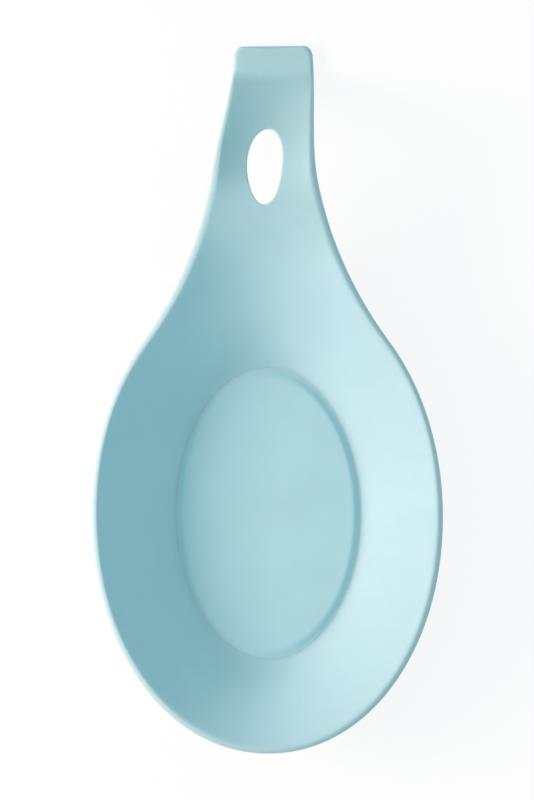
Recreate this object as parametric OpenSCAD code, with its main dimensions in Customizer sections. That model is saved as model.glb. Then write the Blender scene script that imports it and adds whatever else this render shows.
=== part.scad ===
// Spoon rest: an oval dish whose neck arches up and whose handle comes down to a flat tab.
// The dish is one soft moulding with an oval opening in its floor. A pad fills that opening,
// so its raised top is the floor of the bowl and its flat underside is the foot.
// Millimetres. +Z is up and the counter is z = 0. The origin is the middle of the foot,
// +Y points to the handle, and +X is to the right of someone who looks along +Y.

/* [Bowl] */
// Half the width of the bowl, to its outer edge
bowl_half_w = 48.2; // [42:0.1:60]
// From the middle of the bowl to its far tip
bowl_tip = 65.4; // [58:0.1:80]
// From the middle of the bowl to where its oval would close under the neck
bowl_top = 66.5; // [62:0.1:75]
// How full the far end is, where 2 is an ellipse and more is squarer
tip_fullness = 2.05; // [2:0.01:2.3]
// Height of the bowl's rim above the counter
rim_z = 17.2; // [12:0.1:25]
// Thickness of the moulding
wall = 2.2; // [1.6:0.1:3]
// Height of the moulding's floor round the pad
groove_z = 2.2; // [2:0.1:2.6]
// Width of that floor, before the wall rises
groove_w = 0.3; // [0.1:0.1:2]

/* [Neck and handle] */
// From the middle of the bowl to the end of the tab
reach = 129.9; // [120:0.1:150]
// Where the neck leaves the bowl's oval
shoulder_y = 47; // [44:0.5:52]
// From the tab's end back to where the neck becomes the handle
waist_back = 31.4; // [26:0.1:36]
// Half the width there
waist_half_w = 13.6; // [11:0.1:18]
// Half the width of the tab at its end
tab_half_w = 10.8; // [9:0.1:14]
// Radius of the tab's two corners
tab_corner_r = 2.4; // [1:0.1:4]
// Length of the flat tab
tab_length = 7.4; // [5:0.1:12]
// How far the soft handle's end is set to the right, where 0 is a straight handle
tip_sway = 2.4; // [0:0.05:4]
// From the tab's end back to where that sideways set begins
sway_back = 39.5; // [30:0.1:42]

/* [Arch] */
// From the tab's end back to where the channel's floor is highest
crest_back = 41.4; // [40:0.1:46]
// Height of the channel's floor there
crest_z = 20.5; // [16:0.1:26]
// Height of the channel's floor where it leaves the bowl
neck_low_z = 8.4; // [6:0.1:11]
// Length over which the rise rounds off below the crest
crest_round = 10; // [4:0.5:16]
// Length over which the fall steepens beyond the crest
fall_round = 20; // [12:0.5:26]
// Length of the bend from the fall to the tab
tab_bend = 3; // [1:0.1:6]
// Radius of the channel's hollow in the neck
neck_hollow_r = 41; // [34:0.5:70]
// Radius of the channel's hollow just below the crest, where it is shallowest
crest_hollow_r = 80; // [50:1:120]
// Radius of the channel's hollow in the handle
handle_hollow_r = 27; // [22:0.5:60]
// From the tab's end back to where the handle's hollow begins to flatten
flatten_back = 23.9; // [18:0.1:30]

/* [Rim] */
// Width of the rounded lip round the bowl
lip_w = 1.6; // [0.8:0.1:2]
// Width of the lip on the neck
neck_lip_w = 2; // [1:0.1:2.4]
// Width of the lip beyond the hanging hole and round the tab
tab_lip_w = 1.2; // [0.6:0.1:2]
// Height that the lip falls from its inner to its outer edge
lip_drop = 1.1; // [0.5:0.1:1.2]
// Height of the upright face below the lip
lip_face = 0.6; // [0.2:0.1:0.8]

/* [Hanging hole] */
// From the tab's end back to where the hole is widest
hole_back = 32.9; // [31:0.1:35]
// Half its width there
hole_half_w = 4.8; // [3:0.1:6]
// From its widest place to its end nearer the tab
hole_up = 9; // [6:0.1:11]
// From its widest place to its end nearer the bowl
hole_down = 12.1; // [8:0.1:14]

/* [Pad] */
// Half the width of the pad, at the foot of its sloping edge
pad_half_w = 25.4; // [21:0.1:29]
// Half the length of the pad, at the foot of its sloping edge
pad_half_l = 40.3; // [34:0.1:44]
// Height of the pad's top above the counter
pad_z = 3; // [2.7:0.1:4]
// Run of the sloping edge, at the ends of the oval
pad_slope_l = 3.8; // [1:0.1:8]
// Width of the flange that carries the moulding
flange_w = 3; // [2:0.1:3.6]
// Thickness of the flange
flange_t = 1.2; // [0.8:0.1:1.4]
// Clearance between the pad and the moulding's opening
pad_gap = 0.2; // [0.1:0.05:0.4]

/* [Hidden] */

silicone = [0.60, 0.79, 0.83];
pad_silicone = [0.63, 0.81, 0.84];

// Slopes, all as rise over run
waist_taper = -0.12;
tab_taper = -0.06;
// How the bowl's far wall and the neck's channel run into each other
merge_h = 4;
// Just above the shoulder the channel's floor turns up, so that the bowl's wall takes over
turn_lead = 3;
turn_run = 33;
// The neck's hollow begins to open this far above the shoulder, and is shallowest this far before the crest
flare_lead = 17;
saddle_lead = 4;
// How softly the wall starts from the groove, as a share of the wall's run
foot_soft_share = 0.07;
// Step over which slopes are measured
probe = 0.05;
// From the tab's end to where its middle line begins
tab_core = 4;
// How far the opening's stations run ahead of the outline's near the neck, as a share
inner_lead_share = 0.8;
// Power that puts the steepest place of the pad's edge later than halfway down, where 1 is halfway
slope_lateness = 1.6;

tab_y = reach - tab_length;
waist_y = reach - waist_back;
sway_y = reach - sway_back;
crest_y = reach - crest_back;
flatten_y = reach - flatten_back;
hole_y = reach - hole_back;
turn_y = shoulder_y + turn_lead;
flare_y = shoulder_y + flare_lead;
saddle_y = crest_y - saddle_lead;
neck_rise_slope = (crest_z - neck_low_z) / (crest_y - turn_y - crest_round / 2);
fall_run = tab_y - crest_y;
fall_drop = crest_z - wall;
fall_slope = fall_drop / (fall_run - fall_round / 2 - tab_bend / 2);
foot_half_w = pad_half_w + pad_gap + groove_w;
foot_half_l = pad_half_l + pad_gap + groove_w;
open_half_w = pad_half_w + pad_gap;
open_half_l = pad_half_l + pad_gap;
hole_top_y = hole_y + hole_up;
hole_low_y = hole_y - hole_down;

// Counts of the stations along half the outline
end_steps = 3;
corner_steps = 4;
handle_steps = 9;
hole_steps = 14;
neck_steps = 14;
bowl_steps = 44;
corner_at = end_steps;
handle_at = corner_at + corner_steps;
hole_at = handle_at + handle_steps;
neck_at = hole_at + hole_steps;
bowl_at = neck_at + neck_steps;
half_steps = bowl_at + bowl_steps;
ring_steps = 2 * half_steps;

// Places across the wall, from the inner edge to the lip, as shares of that run
top_shares = [0, 0.04, 0.08, 0.13, 0.2, 0.3, 0.42, 0.55, 0.7, 0.85, 1];
under_shares = [0, 0.12, 0.2, 0.32, 0.55, 0.8, 1];
lip_steps = 4;
oval_steps = 96;
slope_steps = 8;
top_n = len(top_shares);
under_n = len(under_shares);
section_n = under_n + 1 + lip_steps + top_n;

function mix(a, b, t) = a + (b - a) * t;
function clip(t) = min(max(t, 0), 1);
function ease(t) = let (c = clip(t)) c * c * (3 - 2 * c);
function between(a, b, v) = (v - a) / (b - a);
function ellipse_half(half_w, half_l, y, n = 2) = half_w * pow(max(1 - pow(abs(y) / half_l, n), 0), 1 / n);
function ellipse_reach(half_w, half_l, x, y) =
    norm([x, y]) / max(norm([x / half_w, y / half_l]), probe / half_l);

// A curve through two places with the slopes given there
function curve(y, y0, w0, s0, y1, w1, s1) =
    let (t = between(y0, y1, y), run = y1 - y0)
    w0 * (1 + t * t * (2 * t - 3)) + s0 * run * t * (1 - t) * (1 - t)
    + w1 * t * t * (3 - 2 * t) + s1 * run * t * t * (t - 1);

// Half the width of the outline at a place along the length
function outline_half(y) =
    y > waist_y ? curve(y, waist_y, waist_half_w, waist_taper, reach, tab_half_w, tab_taper)
    : y > shoulder_y
        ? curve(y, shoulder_y, shoulder_half_w, shoulder_taper, waist_y, waist_half_w, waist_taper)
    : y > 0 ? ellipse_half(bowl_half_w, bowl_top, y)
    : ellipse_half(bowl_half_w, bowl_tip, y, tip_fullness);
shoulder_half_w = ellipse_half(bowl_half_w, bowl_top, shoulder_y);
shoulder_taper = -pow(bowl_half_w / bowl_top, 2) * shoulder_y / shoulder_half_w;

// Half the width of the hanging hole at a place along the length
function hole_half(y) = ellipse_half(hole_half_w, y > hole_y ? hole_up : hole_down, y - hole_y);

// Width of the lip at a place along the length
function lip_at(y) =
    let (neck = mix(lip_w, neck_lip_w, ease(between(shoulder_y - crest_round, shoulder_y + fall_round, y))))
    mix(neck, tab_lip_w, ease(between(crest_y, hole_top_y, y)));

// Height of the channel's floor along the middle of the neck and the handle
function rise(d) = neck_rise_slope * (d < crest_round ? d * d / (2 * crest_round) : d - crest_round / 2);
function fall(d) =
    d < fall_round ? fall_slope * d * d / (2 * fall_round)
    : d < fall_run - tab_bend ? fall_slope * (d - fall_round / 2)
    : let (left = max(fall_run - d, 0)) fall_drop - fall_slope * left * left / (2 * tab_bend);
function channel_z(y) =
    y > crest_y ? crest_z - fall(y - crest_y)
    : crest_z - rise(crest_y - y) + pow(max(turn_y - y, 0), 2) / turn_run;

// How much the channel curves up to its sides
function hollow(y) =
    let (neck = mix(1 / neck_hollow_r, 1 / crest_hollow_r, ease(between(flare_y, saddle_y, y))),
         curved = mix(neck, 1 / handle_hollow_r, ease(between(saddle_y, waist_y, y))),
         flat = clip(between(flatten_y, tab_y, y)))
    curved * (1 - flat * flat * flat) / 2;

// Height of the bowl's wall, which runs straight from the groove to the rim
function soft(u) =
    (sqrt(u * u + foot_soft_share * foot_soft_share) - foot_soft_share)
    / (sqrt(1 + foot_soft_share * foot_soft_share) - foot_soft_share);
function bowl_z(x, y) =
    let (foot = ellipse_reach(foot_half_w, foot_half_l, x, y),
         rim = ellipse_reach(bowl_half_w - lip_w, (y > 0 ? bowl_top : bowl_tip) - lip_w, x, y),
         u = max((norm([x, y]) - foot) / (rim - foot), 0))
    groove_z + (rim_z - groove_z) * soft(u);

// Height of the upper face of the moulding
function merged(a, b) = min(a, b) - pow(max(merge_h - abs(a - b), 0), 2) / (4 * merge_h);
function top_z(x, y) = merged(bowl_z(x, y), channel_z(y) + hollow(y) * x * x);

// Height of its lower face, a wall's thickness away, and flat where the flange or the counter carries it
function slope_factor(x, y) =
    let (sx = (top_z(x + probe, y) - top_z(x - probe, y)) / (2 * probe),
         sy = (top_z(x, y + probe) - top_z(x, y - probe)) / (2 * probe))
    norm([1, sx, sy]);
function under_z(x, y) =
    let (z = top_z(x, y) - wall * slope_factor(x, y))
    max(z, y < crest_y ? flange_t : 0);

// Half of the outline, from the middle of the tab's end to the tip of the bowl
function side_y(j) =
    j <= hole_at ? mix(reach - tab_corner_r, hole_top_y, (j - handle_at) / handle_steps)
    : j <= neck_at ? mix(hole_top_y, hole_low_y, (1 - cos(180 * (j - hole_at) / hole_steps)) / 2)
    : mix(hole_low_y, open_half_l, (j - neck_at) / neck_steps);
bowl_from = asin(open_half_l / bowl_top);
function bowl_point(angle) =
    let (y = (angle > 0 ? bowl_top : bowl_tip) * sin(angle)) [outline_half(y), y];
function outer_point(j) =
    j < corner_at ? [(tab_half_w - tab_corner_r) * j / end_steps, reach]
    : j < handle_at
        ? let (a = 90 * (j - corner_at) / corner_steps)
          [tab_half_w - tab_corner_r * (1 - sin(a)), reach - tab_corner_r * (1 - cos(a))]
    : j <= bowl_at ? [outline_half(side_y(j)), side_y(j)]
    : bowl_point(mix(bowl_from, -90, (j - bowl_at) / bowl_steps));

// The inner edge that each outline point is joined to: the middle line, the hole or the opening
function inner_point(j) =
    j < handle_at ? [0, mix(reach - tab_core, tab_y, j / handle_at)]
    : j <= hole_at ? [0, mix(tab_y, hole_top_y, (j - handle_at) / handle_steps)]
    : j <= neck_at ? [hole_half(side_y(j)), side_y(j)]
    : j <= bowl_at ? [0, side_y(j)]
    : let (s = (j - bowl_at) / bowl_steps, a = mix(90, -90, s * (1 + inner_lead_share * (1 - s))))
      [open_half_w * cos(a), open_half_l * sin(a)];
function is_open(j) = (j > hole_at && j < neck_at) || j > bowl_at;

// The sideways set of the handle moves a point by its place along the length
function set_over(x, y, z) = [x + tip_sway * ease(between(sway_y, reach - tab_length / 2, y)), y, z];

// One section through the moulding: its lower face outwards, its lip, and its upper face inwards
function section(j, side) =
    let (outer = outer_point(j),
         inner = inner_point(j),
         way = (inner - outer) / norm(inner - outer),
         lip = lip_at(outer.y),
         edge = outer + way * lip,
         edge_z = top_z(edge.x, edge.y))
    concat(
        [for (s = under_shares) let (p = mix(inner, edge, s)) set_over(side * p.x, p.y, under_z(p.x, p.y))],
        [set_over(side * outer.x, outer.y, max(edge_z - lip_drop - lip_face, 0))],
        [for (k = [0 : lip_steps - 1])
            let (a = 90 * (1 - k / lip_steps), p = edge - way * lip * sin(a))
            set_over(side * p.x, p.y, edge_z - lip_drop * (1 - cos(a)))],
        [for (k = [top_n - 1 : -1 : 0])
            let (p = mix(inner, edge, top_shares[k])) set_over(side * p.x, p.y, top_z(p.x, p.y))]
    );

function half_of(i) = i <= half_steps ? i : ring_steps - i;
function wrap(i) = (i + ring_steps) % ring_steps;
// Both sides share the points on the middle line where nothing is open
function at(i, k) =
    let (i = wrap(i),
         ends = k == 0 || k == section_n - 1,
         shared = ends && !is_open(half_of(i)) || half_of(i) == half_steps)
    (shared ? half_of(i) : i) * section_n + k;

// A dish with its rim, neck, handle and tab in one moulding
module dish_shell() {
    points = [for (i = [0 : ring_steps - 1]) each section(half_of(i), i <= half_steps ? 1 : -1)];
    skin = [
        for (i = [0 : ring_steps - 1]) for (k = [0 : section_n - 2])
            each [[at(i, k), at(i + 1, k), at(i + 1, k + 1)], [at(i, k), at(i + 1, k + 1), at(i, k + 1)]]
    ];
    edges = [
        for (i = [0 : ring_steps - 1])
            if (is_open(half_of(i)) || is_open(half_of(wrap(i + 1))))
                let (k = section_n - 1)
                each [[at(i, k), at(i + 1, k), at(i + 1, 0)], [at(i, k), at(i + 1, 0), at(i, 0)]]
    ];
    sound = [for (f = concat(skin, edges)) if (f[0] != f[1] && f[1] != f[2] && f[2] != f[0]) f];
    color(silicone) polyhedron(points = points, faces = sound, convexity = 6);
}

function oval(half_w, half_l) =
    [for (i = [0 : oval_steps - 1]) let (a = 360 * i / oval_steps) [half_w * cos(a), half_l * sin(a)]];

// Half of a section along the pad's raised part, whose edge slopes softly down to the moulding's floor
function pad_profile() = concat(
    [[0, pad_z]],
    [for (k = [0 : slope_steps])
        let (run_share = k / slope_steps, fall_share = ease(pow(run_share, slope_lateness)))
        [pad_half_l - pad_slope_l * (1 - run_share), mix(pad_z, groove_z, fall_share)]],
    [[pad_half_l, flange_t / 2], [0, flange_t / 2]]
);

// The oval pad: its flange carries the moulding, and its raised top is the floor of the bowl
module base_pad() {
    color(pad_silicone) {
        linear_extrude(flange_t) polygon(oval(pad_half_w + flange_w, pad_half_l + flange_w));
        scale([pad_half_w / pad_half_l, 1, 1]) rotate_extrude($fn = oval_steps) polygon(pad_profile());
    }
}

dish_shell();
base_pad();
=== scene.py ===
"""A soft spoon rest in plain studio light.

An oval dish whose neck arches up and whose handle comes down to a flat tab, moulded in one
with its rim, and an oval pad that is the floor of the bowl and its foot. Metres, in the row
frame: +Z up from the counter at z = 0, +Y to the handle, origin in the middle of the foot.
"""

import math

import bmesh
import bpy
import numpy as np
from mathutils import Matrix, Vector


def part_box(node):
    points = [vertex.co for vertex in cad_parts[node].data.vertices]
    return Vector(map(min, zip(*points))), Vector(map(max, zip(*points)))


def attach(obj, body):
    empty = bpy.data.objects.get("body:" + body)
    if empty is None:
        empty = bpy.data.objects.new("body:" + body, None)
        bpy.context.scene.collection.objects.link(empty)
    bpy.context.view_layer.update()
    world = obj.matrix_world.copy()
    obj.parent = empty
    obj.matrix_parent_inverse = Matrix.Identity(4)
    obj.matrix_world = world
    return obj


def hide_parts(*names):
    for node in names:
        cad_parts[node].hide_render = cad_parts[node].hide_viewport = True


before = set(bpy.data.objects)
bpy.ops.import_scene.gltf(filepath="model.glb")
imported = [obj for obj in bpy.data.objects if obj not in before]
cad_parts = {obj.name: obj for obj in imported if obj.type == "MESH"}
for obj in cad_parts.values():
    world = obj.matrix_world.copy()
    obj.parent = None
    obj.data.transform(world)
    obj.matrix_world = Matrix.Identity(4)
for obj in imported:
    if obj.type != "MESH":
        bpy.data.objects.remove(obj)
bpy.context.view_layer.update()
DISH_LOW, DISH_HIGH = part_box("dish_shell")
PAD_LOW, PAD_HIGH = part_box("base_pad")
MM = 0.001

# Bowl
BOWL_HALF_W = DISH_HIGH.x
BOWL_TIP = -DISH_LOW.y
BOWL_TOP = 66.5 * MM
TIP_FULLNESS = 2.05
RIM_Z = 17.2 * MM
WALL = 2.2 * MM
GROOVE_Z = 2.2 * MM
GROOVE_W = 0.3 * MM
FOOT_SOFTNESS = 0.07
# Neck, handle and tab
REACH = DISH_HIGH.y
SHOULDER_Y = 47 * MM
WAIST_Y = REACH - 31.4 * MM
WAIST_HALF_W = 13.6 * MM
WAIST_TAPER = -0.12
TAB_HALF_W = 10.8 * MM
TAB_TAPER = -0.06
TAB_CORNER_R = 2.4 * MM
TAB_Y = REACH - 7.4 * MM
TAB_CORE = 4 * MM
TIP_SWAY = 2.4 * MM
SWAY_Y = REACH - 39.5 * MM
# Arch
CREST_Y = REACH - 41.4 * MM
CREST_Z = 20.5 * MM
NECK_LOW_Z = 8.4 * MM
CREST_ROUND = 10 * MM
FALL_ROUND = 20 * MM
TAB_BEND = 3 * MM
NECK_HOLLOW_R = 41 * MM
CREST_HOLLOW_R = 80 * MM
HANDLE_HOLLOW_R = 27 * MM
SADDLE_Y = CREST_Y - 4 * MM
FLARE_Y = SHOULDER_Y + 17 * MM
FLATTEN_Y = REACH - 23.9 * MM
MERGE_H = 4 * MM
TURN_Y = SHOULDER_Y + 3 * MM
TURN_RUN = 33 * MM
# Rim
LIP_W = 1.6 * MM
NECK_LIP_W = 2 * MM
TAB_LIP_W = 1.2 * MM
LIP_DROP = 1.1 * MM
LIP_FACE = 0.6 * MM
# Hanging hole
HOLE_Y = REACH - 32.9 * MM
HOLE_HALF_W = 4.8 * MM
HOLE_UP = 9 * MM
HOLE_DOWN = 12.1 * MM
HOLE_EDGE_R = 0.35 * MM
# Pad
PAD_HALF_W = 25.4 * MM
PAD_HALF_L = 40.3 * MM
PAD_SLOPE_L = 3.8 * MM
SLOPE_LATENESS = 1.6
PAD_GAP = 0.2 * MM
SEAM = 0.01 * MM
FLANGE_T = 1.2 * MM
FLANGE_EDGE_R = 0.25 * MM
OPENING_EDGE_R = 0.04 * MM

# Silicone: its colours, the lip's greyer colour, which is painted shade and is also the colour of
# rubbed edges, a painted shade tint along the handle, how much of its edges is rubbed and where, and its
# marks, each a noise
DISH_COLOUR = (0.40, 0.655, 0.705)
PAD_COLOUR = (0.418, 0.69, 0.74)
# Painted shade: the lip is painted this greyer colour, most at its outer foot; rubbed edges also take it
# as real wear
LIP_SHADE_AND_WEAR_COLOUR = (0.41, 0.575, 0.60)
# Painted shade: the handle is tinted duller and less blue from the neck's flare out to the tab
HANDLE_SHADE_TINT = (1.0, 0.985, 0.96)
DEEPER = 0.94
DISH_WORN_SHARE, PAD_WORN_SHARE = 0.5, 0.4
CONVEX_FROM, CONVEX_TO = 0.505, 0.54
WEAR_LOW_Z, WEAR_FULL_Z = 1.1 * PAD_HIGH.z, 2 * PAD_HIGH.z
NOISE_FROM, NOISE_TO, NOISE_ROUGHNESS = 0.3, 0.7, 0.55
BLOOM = {"fineness": 55, "detail": 3, "low": 0.35, "high": 1}
WEAR = {"fineness": 260, "detail": 4, "low": 0.5, "high": 1}
GLOSS = {"fineness": 320, "detail": 3, "low": 0.56, "high": 0.68}
WAVES = {"fineness": 45, "detail": 2, "low": 0, "high": 1}
GRAIN = {"fineness": 2600, "detail": 2, "low": 0, "high": 1}
WAVE_H, WAVE_STRENGTH = 0.6 * MM, 0.1
GRAIN_H, GRAIN_STRENGTH = 0.1 * MM, 0.12
SCATTER = 2.2 * MM

# Studio
FLOOR_HALF, FLOOR_CELLS = 2.0, 8
FLOOR_COLOUR = (0.95, 0.95, 0.95)
FLOOR_WHITE_SHARE = 0.86
AMBIENT_COLOUR = (0.79, 1.0, 1.06)
AMBIENT = 0.667
KEY_COLOUR = (1.0, 0.645, 0.57)
KEY_POWER = 5.55
KEY_DISTANCE = 0.65
KEY_Y = 0.01
KEY_ELEVATION = math.radians(24)
KEY_WIDTH, KEY_HEIGHT = 0.27, 0.173
# Camera. The photo is 534 by 800 pixels, and a metre, seen from a metre away, would be 3591.3 of them.
FRAME_HEIGHT_PX = 800
FOCAL_PX = 3591.3
SENSOR_HEIGHT = 24.0
CAMERA_PLACE = Vector((0.0229, 0.0315, 1.0))
CAMERA_TARGET = Vector((-0.0001, 0.0315, 0))
CAMERA_ROLL = math.radians(0.45)
CLIP_NEAR, CLIP_FAR = 0.01, 20

# How finely the meshes are cut, and how much closer together the places are at one end of a run
END_STEPS, CORNER_STEPS, HANDLE_STEPS, HOLE_STEPS, NECK_STEPS, BOWL_STEPS = 5, 10, 32, 56, 48, 150
TOP_STEPS, UNDER_STEPS, LIP_STEPS = 34, 16, 9
PAD_STEPS, PAD_RINGS, SLOPE_STEPS, EDGE_STEPS = 240, 14, 16, 7
NECK_CROWDING, TOP_CROWDING = 1.6, 1.25
# How far the inner points run ahead of the outer ones round the bowl, where 0 is not at all
INNER_LEAD_SHARE = 0.8
# How far from an opening a section's first points are, close together across its rounded edge
EDGE_PLACES = np.array([0, 0.05, 0.16, 0.34, 0.6, 1.0]) * max(HOLE_EDGE_R, OPENING_EDGE_R)
LIP_TURN = np.linspace(math.pi / 2, 0, LIP_STEPS + 1)[:-1]
# The pad's smallest rings, and the rings of its underside, as shares of its size
CENTRE_SHARE = 0.04
UNDER_SHARES = (0.8, 0.5, CENTRE_SHARE)
# A slope is measured from this far on one side to this far on the other
PROBE = 0.05 * MM
# Points closer than the first are made one, and edges shorter than the second are taken out
MEETING, SLIVER = 2e-6, 1e-7
# Keeps a division from being by zero
TINY = 1e-6

OPEN_HALF_W, OPEN_HALF_L = PAD_HALF_W + PAD_GAP, PAD_HALF_L + PAD_GAP
FOOT_HALF_W, FOOT_HALF_L = OPEN_HALF_W + GROOVE_W, OPEN_HALF_L + GROOVE_W
HOLE_TOP_Y, HOLE_LOW_Y = HOLE_Y + HOLE_UP, HOLE_Y - HOLE_DOWN
FALL_RUN, FALL_DROP = TAB_Y - CREST_Y, CREST_Z - WALL
FALL_SLOPE = FALL_DROP / (FALL_RUN - FALL_ROUND / 2 - TAB_BEND / 2)
RISE_SLOPE = (CREST_Z - NECK_LOW_Z) / (CREST_Y - TURN_Y - CREST_ROUND / 2)


def mix(a, b, t):
    """From a at share 0 to b at share 1."""
    return a + (b - a) * t


def ease(t):
    """A share from 0 to 1 that starts and ends softly."""
    t = np.clip(t, 0, 1)
    return t * t * (3 - 2 * t)


def between(a, b, v):
    """The share of the way from a to b at which a value lies."""
    return (v - a) / (b - a)


def oval_half(half_w, half_l, y, fullness=2):
    """Half the width of an oval at a place along its length."""
    return half_w * np.maximum(1 - (np.abs(y) / half_l) ** fullness, 0) ** (1 / fullness)


def oval_reach(half_w, half_l, x, y):
    """From the middle to the oval's edge, in the direction of a point."""
    return np.hypot(x, y) / np.maximum(np.hypot(x / half_w, y / half_l), TINY)


def oval_distance(half_w, half_l, x, y):
    """From a point outside an oval to its edge, near the edge."""
    f = np.maximum(np.hypot(x / half_w, y / half_l), TINY)
    return (f - 1) * f / np.maximum(np.hypot(x / half_w**2, y / half_l**2), TINY)


def curve(y, y0, w0, s0, y1, w1, s1):
    """A curve through two places with the slopes given there."""
    t, length = between(y0, y1, y), y1 - y0
    rise = s0 * length * t * (1 - t) ** 2 + s1 * length * t * t * (t - 1)
    return w0 * (1 + t * t * (2 * t - 3)) + w1 * t * t * (3 - 2 * t) + rise


SHOULDER_HALF_W = oval_half(BOWL_HALF_W, BOWL_TOP, SHOULDER_Y)
SHOULDER_TAPER = -((BOWL_HALF_W / BOWL_TOP) ** 2) * SHOULDER_Y / SHOULDER_HALF_W


def outline_half(y):
    """Half the width of the dish at a place along its length."""
    neck = curve(
        y, SHOULDER_Y, SHOULDER_HALF_W, SHOULDER_TAPER, WAIST_Y, WAIST_HALF_W, WAIST_TAPER
    )
    handle = curve(y, WAIST_Y, WAIST_HALF_W, WAIST_TAPER, REACH, TAB_HALF_W, TAB_TAPER)
    near = oval_half(BOWL_HALF_W, BOWL_TOP, y)
    far = oval_half(BOWL_HALF_W, BOWL_TIP, y, TIP_FULLNESS)
    return np.where(y > WAIST_Y, handle, np.where(y > SHOULDER_Y, neck, np.where(y > 0, near, far)))


def hole_half(y):
    """Half the width of the hanging hole at a place along the length."""
    return oval_half(HOLE_HALF_W, np.where(y > HOLE_Y, HOLE_UP, HOLE_DOWN), y - HOLE_Y)


def lip_at(y):
    """Width of the lip at a place along the length."""
    neck = ease(between(SHOULDER_Y - CREST_ROUND, SHOULDER_Y + FALL_ROUND, y))
    return mix(mix(LIP_W, NECK_LIP_W, neck), TAB_LIP_W, ease(between(CREST_Y, HOLE_TOP_Y, y)))


def channel_z(y):
    """Height of the channel's floor along the middle of the neck and the handle."""
    up = np.maximum(CREST_Y - y, 0)
    rise = RISE_SLOPE * np.where(up < CREST_ROUND, up**2 / (2 * CREST_ROUND), up - CREST_ROUND / 2)
    down = np.maximum(y - CREST_Y, 0)
    left = np.maximum(FALL_RUN - down, 0)
    late = FALL_DROP - FALL_SLOPE * left**2 / (2 * TAB_BEND)
    early = FALL_SLOPE * np.where(down < FALL_ROUND, down**2 / (2 * FALL_ROUND), down - FALL_ROUND / 2)
    fall = np.where(left < TAB_BEND, late, early)
    return CREST_Z - rise - fall + np.maximum(TURN_Y - y, 0) ** 2 / TURN_RUN


def hollow(y):
    """How much the channel curves up to its sides."""
    neck = mix(1 / NECK_HOLLOW_R, 1 / CREST_HOLLOW_R, ease(between(FLARE_Y, SADDLE_Y, y)))
    curved = mix(neck, 1 / HANDLE_HOLLOW_R, ease(between(SADDLE_Y, WAIST_Y, y)))
    return curved * (1 - np.clip(between(FLATTEN_Y, TAB_Y, y), 0, 1) ** 3) / 2


def soft(u):
    """A straight rise with a soft start."""
    return (np.sqrt(u * u + FOOT_SOFTNESS**2) - FOOT_SOFTNESS) / (
        math.sqrt(1 + FOOT_SOFTNESS**2) - FOOT_SOFTNESS
    )


def bowl_z(x, y):
    """Height of the bowl's wall, which runs from the groove to the rim."""
    foot = oval_reach(FOOT_HALF_W, FOOT_HALF_L, x, y)
    rim = oval_reach(BOWL_HALF_W - LIP_W, np.where(y > 0, BOWL_TOP, BOWL_TIP) - LIP_W, x, y)
    return GROOVE_Z + (RIM_Z - GROOVE_Z) * soft(np.maximum((np.hypot(x, y) - foot) / (rim - foot), 0))


def moulded_z(x, y):
    """Height of the upper face before its edges are rounded: the wall runs into the channel."""
    wall, channel = bowl_z(x, y), channel_z(y) + hollow(y) * x * x
    blend = np.maximum(MERGE_H - np.abs(wall - channel), 0) ** 2 / (4 * MERGE_H)
    return np.minimum(wall, channel) - blend


def moulded_under_z(x, y):
    """Height of the lower face, a wall's thickness away, flat where the pad's flange carries it."""
    sx = (moulded_z(x + PROBE, y) - moulded_z(x - PROBE, y)) / (2 * PROBE)
    sy = (moulded_z(x, y + PROBE) - moulded_z(x, y - PROBE)) / (2 * PROBE)
    z = moulded_z(x, y) - WALL * np.sqrt(1 + sx * sx + sy * sy)
    return np.maximum(z, np.where(y < CREST_Y, FLANGE_T, 0))


def edge_drop(distance, radius):
    """How far a rounded edge of that radius has fallen at that distance from the edge."""
    left = np.clip(radius - distance, 0, radius)
    return radius - np.sqrt(radius**2 - left**2)


def hole_drop(x, y):
    """How far the rounded edge of the hanging hole has fallen at a point."""
    half_l = np.where(y > HOLE_Y, HOLE_UP, HOLE_DOWN)
    return edge_drop(oval_distance(HOLE_HALF_W, half_l, x, y - HOLE_Y), HOLE_EDGE_R)


def top_z(x, y):
    """Height of the upper face, its edges at both openings rounded."""
    opening = edge_drop(oval_distance(OPEN_HALF_W, OPEN_HALF_L, x, y), OPENING_EDGE_R)
    return moulded_z(x, y) - hole_drop(x, y) - opening


def under_z(x, y):
    """Height of the lower face, its edge at the hanging hole rounded."""
    return moulded_under_z(x, y) + hole_drop(x, y)


def run(steps, power=1.0):
    """Shares from 0 up to, and without, 1, closer together at the start for a power above 1."""
    return (np.arange(steps) / steps) ** power


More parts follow.
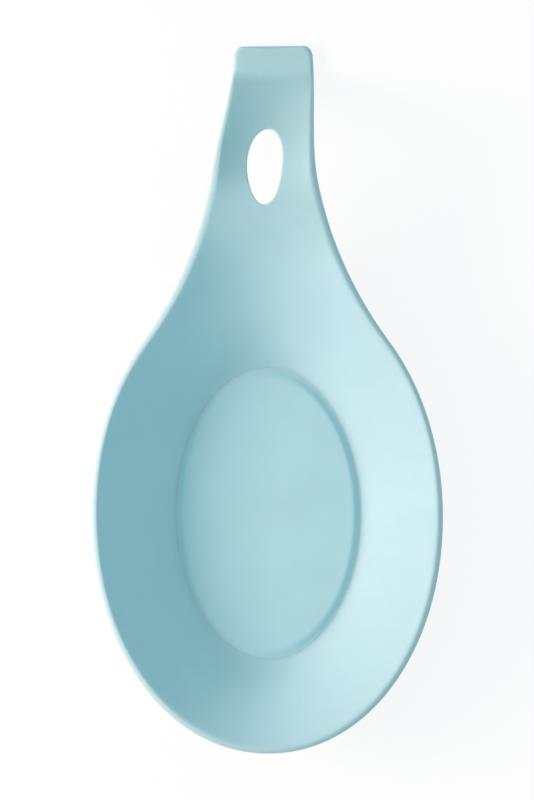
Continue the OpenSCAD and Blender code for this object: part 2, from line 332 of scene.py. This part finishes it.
def half_ring():
    """Outline points of the right side from the tab's end to the bowl's tip, the inner point that each
    is joined to, and whether it is at an opening."""
    end, corner = run(END_STEPS), run(CORNER_STEPS) * math.pi / 2
    handle = 1 - (1 - run(HANDLE_STEPS)) ** NECK_CROWDING
    hole = (1 - np.cos(run(HOLE_STEPS) * math.pi)) / 2
    neck = run(NECK_STEPS, NECK_CROWDING)
    bowl = np.linspace(0, 1, BOWL_STEPS + 1)
    outer, inner, is_open = [], [], []

    def add(outer_x, outer_y, inner_x, inner_y, opened):
        outer.append(np.stack(np.broadcast_arrays(outer_x, outer_y), 1))
        inner.append(np.stack(np.broadcast_arrays(inner_x, inner_y), 1))
        is_open.append(np.broadcast_to(opened, len(outer[-1])))

    core_y = mix(REACH - TAB_CORE, TAB_Y, run(END_STEPS + CORNER_STEPS))
    add((TAB_HALF_W - TAB_CORNER_R) * end, REACH, 0 * end, core_y[:END_STEPS], False)
    corner_x = TAB_HALF_W - TAB_CORNER_R * (1 - np.sin(corner))
    corner_y = REACH - TAB_CORNER_R * (1 - np.cos(corner))
    add(corner_x, corner_y, 0 * corner, core_y[END_STEPS:], False)
    y = mix(REACH - TAB_CORNER_R, HOLE_TOP_Y, handle)
    add(outline_half(y), y, 0 * y, mix(TAB_Y, HOLE_TOP_Y, handle), False)
    y = mix(HOLE_TOP_Y, HOLE_LOW_Y, hole)
    add(outline_half(y), y, hole_half(y), y, hole > 0)
    y = mix(HOLE_LOW_Y, OPEN_HALF_L, neck)
    add(outline_half(y), y, 0 * y, y, False)
    angle = mix(math.asin(OPEN_HALF_L / BOWL_TOP), -math.pi / 2, bowl)
    y = np.where(angle > 0, BOWL_TOP, BOWL_TIP) * np.sin(angle)
    turn = mix(math.pi / 2, -math.pi / 2, bowl * (1 + INNER_LEAD_SHARE * (1 - bowl)))
    add(outline_half(y), y, OPEN_HALF_W * np.cos(turn), OPEN_HALF_L * np.sin(turn), bowl > 0)
    return np.concatenate(outer), np.concatenate(inner), np.concatenate(is_open)


def sections(outer, inner):
    """For each outline point, the points round the section there: under the dish outwards, up the lip,
    and over the top inwards."""
    lip = lip_at(outer[:, 1])[:, None]
    length = np.hypot(*(outer - inner).T)[:, None]
    way = (outer - inner) / length
    edge_at = length - lip
    top_shares = np.linspace(0, 1, TOP_STEPS + 1)[1:][None] ** TOP_CROWDING
    under_shares = np.linspace(0, 1, UNDER_STEPS + 1)[1:][None]
    near = np.broadcast_to(EDGE_PLACES, (len(outer), len(EDGE_PLACES)))

    def place(distance):
        return inner[:, None] + way[:, None] * distance[..., None]

    under = place(np.concatenate([near, mix(EDGE_PLACES[-1], edge_at, under_shares)], 1))
    top = place(np.concatenate([near, mix(EDGE_PLACES[-1], edge_at, top_shares)], 1))
    edge_z = top_z(top[:, -1, 0], top[:, -1, 1])[:, None]
    rim = place(edge_at + lip * np.sin(LIP_TURN))
    rim_z = edge_z - LIP_DROP * (1 - np.cos(LIP_TURN))
    foot = place(length)
    foot_z = np.maximum(edge_z - LIP_DROP - LIP_FACE, 0)
    flat = np.concatenate([under, foot, rim, top[:, ::-1]], 1)
    z = np.concatenate(
        [under_z(*under.transpose(2, 0, 1)), foot_z, rim_z, top_z(*top.transpose(2, 0, 1))[:, ::-1]], 1
    )
    return np.concatenate([flat, z[..., None]], 2)


def sway(points):
    """The soft handle's end is set over to the right."""
    moved = points.copy()
    moved[..., 0] += TIP_SWAY * ease(between(SWAY_Y, (REACH + TAB_Y) / 2, points[..., 1]))
    return moved


def finished_mesh(name, points, faces, low, high, lip=0):
    """A smooth mesh that stays in its CAD node's box, with points that meet made one. Each point keeps
    how far down the lip it is, from which the material paints shade on the lip."""
    mesh = bpy.data.meshes.new(name)
    mesh.from_pydata(np.clip(points, low, high).tolist(), [], faces)
    on_lip = mesh.attributes.new("lip", "FLOAT", "POINT")
    on_lip.data.foreach_set("value", np.broadcast_to(lip, len(points)).astype(np.float32))
    bm = bmesh.new()
    bm.from_mesh(mesh)
    bmesh.ops.remove_doubles(bm, verts=bm.verts, dist=MEETING)
    bmesh.ops.dissolve_degenerate(bm, edges=bm.edges, dist=SLIVER)
    bmesh.ops.recalc_face_normals(bm, faces=bm.faces)
    bm.to_mesh(mesh)
    bm.free()
    mesh.polygons.foreach_set("use_smooth", [True] * len(mesh.polygons))
    piece = bpy.data.objects.new(name, mesh)
    bpy.context.scene.collection.objects.link(piece)
    return piece


def build_dish():
    """Sections all round, joined to their neighbours, with upright faces along both openings."""
    outer, inner, is_open = half_ring()
    right = sections(outer, inner)
    left = right[-2:0:-1] * np.array([-1, 1, 1])
    ring = sway(np.concatenate([right, left]))
    opened = np.concatenate([is_open, is_open[-2:0:-1]])
    count, around = ring.shape[1], len(ring)
    faces = []
    for i in range(around):
        j = (i + 1) % around
        a, b = i * count, j * count
        faces += [(a + k, b + k, b + k + 1, a + k + 1) for k in range(count - 1)]
        if opened[i] or opened[j]:
            faces.append((a + count - 1, b + count - 1, b, a))
    below, above = len(EDGE_PLACES) + UNDER_STEPS, len(EDGE_PLACES) + TOP_STEPS
    lip = np.concatenate([np.zeros(below), [1], np.sin(LIP_TURN), np.zeros(above)])
    return finished_mesh("dish", ring.reshape(-1, 3), faces, DISH_LOW, DISH_HIGH, np.tile(lip, around))


def pad_rings():
    """Rings from the middle of the pad's top, down its soft edge, out along the flange and back under,
    each as its points seen from above and its height."""
    angle = np.arange(PAD_STEPS) * 2 * math.pi / PAD_STEPS
    unit = np.stack([np.cos(angle), np.sin(angle)], 1)
    normal = unit * [OPEN_HALF_L, OPEN_HALF_W]
    normal /= np.linalg.norm(normal, axis=1)[:, None]
    pad_edge = unit * [PAD_HALF_W, PAD_HALF_L]
    side = unit * [OPEN_HALF_W, OPEN_HALF_L] - normal * SEAM
    flange_edge = unit * [PAD_HIGH.x, PAD_HIGH.y]
    flat_share = 1 - PAD_SLOPE_L / PAD_HALF_L
    turn = np.linspace(0, math.pi / 2, EDGE_STEPS)
    start, finish = FLANGE_EDGE_R * (1 - np.sin(turn)), FLANGE_EDGE_R * (1 - np.cos(turn))
    rings = [
        (pad_edge * flat_share * s, PAD_HIGH.z) for s in np.linspace(CENTRE_SHARE, 1, PAD_RINGS)[:-1]
    ]
    rings += [
        (pad_edge * mix(flat_share, 1, s), mix(PAD_HIGH.z, GROOVE_Z, ease(s**SLOPE_LATENESS)))
        for s in np.linspace(0, 1, SLOPE_STEPS)
    ]
    rings += [(side - normal * SEAM, GROOVE_Z), (side, GROOVE_Z - SEAM), (side, FLANGE_T)]
    rings += [(flange_edge - normal * a, FLANGE_T - b) for a, b in zip(start, finish)]
    rings += [(flange_edge - normal * b, a) for a, b in zip(start, finish)]
    rings += [(flange_edge * s, 0) for s in UNDER_SHARES]
    return rings


def build_pad():
    """The rings joined to their neighbours, with the first and the last filled in."""
    rings = pad_rings()
    points = np.concatenate([np.c_[flat, np.full(PAD_STEPS, z)] for flat, z in rings])
    faces = []
    for r in range(len(rings) - 1):
        for i in range(PAD_STEPS):
            a, b = r * PAD_STEPS + i, r * PAD_STEPS + (i + 1) % PAD_STEPS
            faces.append((a, b, b + PAD_STEPS, a + PAD_STEPS))
    last = (len(rings) - 1) * PAD_STEPS
    faces += [tuple(range(PAD_STEPS)), tuple(range(last + PAD_STEPS - 1, last - 1, -1))]
    return finished_mesh("pad", points, faces, PAD_LOW, PAD_HIGH)


# Where the Mix node has its two colours among its inputs, and their mix among its outputs
MIX_FIRST, MIX_SECOND, MIX_RESULT = 6, 7, 2


class Nodes:
    """Short ways to add and join shader nodes."""

    def __init__(self, tree):
        self.tree = tree
        tree.nodes.clear()

    def add(self, kind, values=None, **settings):
        """A node with these values on its inputs."""
        node = self.tree.nodes.new(kind)
        for key, value in settings.items():
            setattr(node, key, value)
        for key, value in (values or {}).items():
            node.inputs[key].default_value = value
        return node

    def join(self, out, socket):
        self.tree.links.new(out, socket)

    def combine(self, operation, a, b):
        """One number made of two."""
        node = self.add("ShaderNodeMath", operation=operation)
        self.join(a, node.inputs[0])
        self.join(b, node.inputs[1])
        return node.outputs[0]

    def span(self, value, start, end, low=0.0, high=1.0):
        """Goes from low to high while the value goes from start to end."""
        ends = {"From Min": start, "From Max": end, "To Min": low, "To Max": high}
        node = self.add("ShaderNodeMapRange", ends)
        self.join(value, node.inputs["Value"])
        return node.outputs[0]

    def noise(self, place, fineness, detail, low, high):
        """A field that goes from low to high in blotches, which a higher fineness makes smaller."""
        values = {"Scale": fineness, "Detail": detail, "Roughness": NOISE_ROUGHNESS}
        node = self.add("ShaderNodeTexNoise", values)
        self.join(place, node.inputs["Vector"])
        return self.span(node.outputs[0], NOISE_FROM, NOISE_TO, low, high)

    def blend(self, share, first, second, how="MIX"):
        """Goes from the first colour, plain or from a node, to the plain second or, with MULTIPLY, to
        their product."""
        node = self.add("ShaderNodeMix", data_type="RGBA", blend_type=how)
        self.join(share, node.inputs[0])
        if isinstance(first, bpy.types.NodeSocket):
            self.join(first, node.inputs[MIX_FIRST])
        else:
            node.inputs[MIX_FIRST].default_value = (*first, 1)
        node.inputs[MIX_SECOND].default_value = (*second, 1)
        return node.outputs[MIX_RESULT]


def silicone_colour(n, place, colour, worn_share):
    """A soft bloom in blotches, painted shade that makes the handle a touch duller, painted shade that
    makes the lip greyer, and greyer where edges are rubbed. The joint low down between pad and dish
    isn't rubbed."""
    apart = n.add("ShaderNodeSeparateXYZ")
    n.join(place, apart.inputs[0])
    tone = n.blend(n.noise(place, **BLOOM), [c * DEEPER for c in colour], colour)
    # Painted shade: the handle is tinted duller from the neck's flare on
    handle_shaded = n.blend(n.span(apart.outputs["Y"], FLARE_Y, HOLE_Y), tone, HANDLE_SHADE_TINT, "MULTIPLY")
    convex = n.add("ShaderNodeNewGeometry").outputs["Pointiness"]
    worn = n.span(convex, CONVEX_FROM, CONVEX_TO, 0, worn_share)
    high = n.combine("MULTIPLY", worn, n.span(apart.outputs["Z"], WEAR_LOW_Z, WEAR_FULL_Z))
    rubbed = n.combine("MULTIPLY", high, n.noise(place, **WEAR))
    lip = n.add("ShaderNodeAttribute", attribute_name="lip").outputs["Fac"]
    # The lip is painted greyer as shade, and rubbed edges turn the same grey as real wear
    return n.blend(n.combine("MAXIMUM", rubbed, lip), handle_shaded, LIP_SHADE_AND_WEAR_COLOUR)


def silicone_relief(n, place):
    """A fine grain on slow waves."""
    grain = n.add("ShaderNodeBump", {"Strength": GRAIN_STRENGTH, "Distance": GRAIN_H})
    n.join(n.noise(place, **GRAIN), grain.inputs["Height"])
    wave = n.add("ShaderNodeBump", {"Strength": WAVE_STRENGTH, "Distance": WAVE_H})
    n.join(n.noise(place, **WAVES), wave.inputs["Height"])
    n.join(grain.outputs[0], wave.inputs["Normal"])
    return wave.outputs[0]


def silicone(name, colour, worn_share):
    """Matte moulded silicone, which lets a little light through at its edges."""
    material = bpy.data.materials.new(name)
    material.use_nodes = True
    n = Nodes(material.node_tree)
    place = n.add("ShaderNodeTexCoord").outputs["Object"]
    skin = n.add(
        "ShaderNodeBsdfPrincipled",
        {
            "IOR": 1.42,
            "Specular IOR Level": 0.4,
            "Subsurface Weight": 0.25,
            "Subsurface Radius": (0.8, 0.9, 1.0),
            "Subsurface Scale": SCATTER,
            "Sheen Weight": 0.15,
            "Sheen Roughness": 0.5,
        },
    )
    n.join(silicone_colour(n, place, colour, worn_share), skin.inputs["Base Color"])
    n.join(n.noise(place, **GLOSS), skin.inputs["Roughness"])
    n.join(silicone_relief(n, place), skin.inputs["Normal"])
    n.join(skin.outputs[0], n.add("ShaderNodeOutputMaterial").inputs["Surface"])
    return material


def shown_directly(n):
    """1 for what is seen itself, in a gloss or through glass, and 0 for light on the object."""
    path = n.add("ShaderNodeLightPath").outputs
    seen = n.combine("MAXIMUM", path["Is Camera Ray"], path["Is Glossy Ray"])
    return n.combine("MAXIMUM", seen, path["Is Transmission Ray"])


def build_floor():
    """A white counter that keeps a faint share of the object's shadow."""
    mesh = bpy.data.meshes.new("floor")
    side = np.linspace(-FLOOR_HALF, FLOOR_HALF, FLOOR_CELLS + 1)
    row = len(side)
    points = [(x, y, 0) for y in side for x in side]
    corners = [r * row + c for r in range(FLOOR_CELLS) for c in range(FLOOR_CELLS)]
    mesh.from_pydata(points, [], [(a, a + 1, a + row + 1, a + row) for a in corners])
    floor = bpy.data.objects.new("floor", mesh)
    bpy.context.scene.collection.objects.link(floor)
    material = bpy.data.materials.new("floor_white")
    material.use_nodes = True
    n = Nodes(material.node_tree)
    matte = n.add("ShaderNodeBsdfDiffuse", {"Color": (*FLOOR_COLOUR, 1)})
    white = n.add("ShaderNodeEmission", {"Color": (1, 1, 1, 1), "Strength": 1.0})
    both = n.add("ShaderNodeMixShader")
    n.join(n.span(shown_directly(n), 0, 1, 0, FLOOR_WHITE_SHARE), both.inputs[0])
    n.join(matte.outputs[0], both.inputs[1])
    n.join(white.outputs[0], both.inputs[2])
    n.join(both.outputs[0], n.add("ShaderNodeOutputMaterial").inputs["Surface"])
    mesh.materials.append(material)


def build_world():
    """Even, slightly cool light from all round, in front of a white backdrop."""
    world = bpy.data.worlds.new("studio")
    bpy.context.scene.world = world
    world.use_nodes = True
    n = Nodes(world.node_tree)
    light = n.add("ShaderNodeBackground", {"Color": (*AMBIENT_COLOUR, 1), "Strength": AMBIENT})
    white = n.add("ShaderNodeBackground", {"Color": (1, 1, 1, 1), "Strength": 1.0})
    both = n.add("ShaderNodeMixShader")
    n.join(shown_directly(n), both.inputs[0])
    n.join(light.outputs[0], both.inputs[1])
    n.join(white.outputs[0], both.inputs[2])
    n.join(both.outputs[0], n.add("ShaderNodeOutputWorld").inputs["Surface"])


def aim(thing, target, up):
    """Turns a camera or a lamp to a target, with that direction upwards."""
    back = (thing.location - target).normalized()
    right = up.cross(back).normalized()
    turn = Matrix((right, back.cross(right), back)).transposed()
    thing.rotation_euler = turn.to_euler()


def build_key():
    """A warm soft box low on the left."""
    lamp = bpy.data.lights.new("key", "AREA")
    lamp.shape = "RECTANGLE"
    lamp.size, lamp.size_y = KEY_WIDTH, KEY_HEIGHT
    lamp.energy = KEY_POWER
    lamp.color = KEY_COLOUR
    key = bpy.data.objects.new("key", lamp)
    bpy.context.scene.collection.objects.link(key)
    out, up = math.cos(KEY_ELEVATION), math.sin(KEY_ELEVATION)
    key.location = (-KEY_DISTANCE * out, KEY_Y, KEY_DISTANCE * up)
    aim(key, Vector((0, KEY_Y, 0)), Vector((0, 0, 1)))


def build_camera():
    """Above the middle of the object's length, just over a degree off straight down, and very slightly
    turned."""
    lens = bpy.data.cameras.new("camera")
    lens.sensor_fit = "VERTICAL"
    lens.sensor_height = SENSOR_HEIGHT
    lens.lens = FOCAL_PX / FRAME_HEIGHT_PX * SENSOR_HEIGHT
    lens.clip_start, lens.clip_end = CLIP_NEAR, CLIP_FAR
    camera = bpy.data.objects.new("camera", lens)
    bpy.context.scene.collection.objects.link(camera)
    camera.location = CAMERA_PLACE
    aim(camera, CAMERA_TARGET, Vector((math.sin(CAMERA_ROLL), math.cos(CAMERA_ROLL), 0)))
    bpy.context.scene.camera = camera


dish = build_dish()
pad = build_pad()
dish.data.materials.append(silicone("shell_silicone", DISH_COLOUR, DISH_WORN_SHARE))
pad.data.materials.append(silicone("pad_silicone", PAD_COLOUR, PAD_WORN_SHARE))
for piece, node, slot in ((dish, "dish_shell", "shell_silicone"), (pad, "base_pad", "pad_silicone")):
    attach(piece, "root")
    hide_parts(node)
build_floor()
build_world()
build_key()
build_camera()
bpy.context.scene.view_settings.view_transform = "Standard"
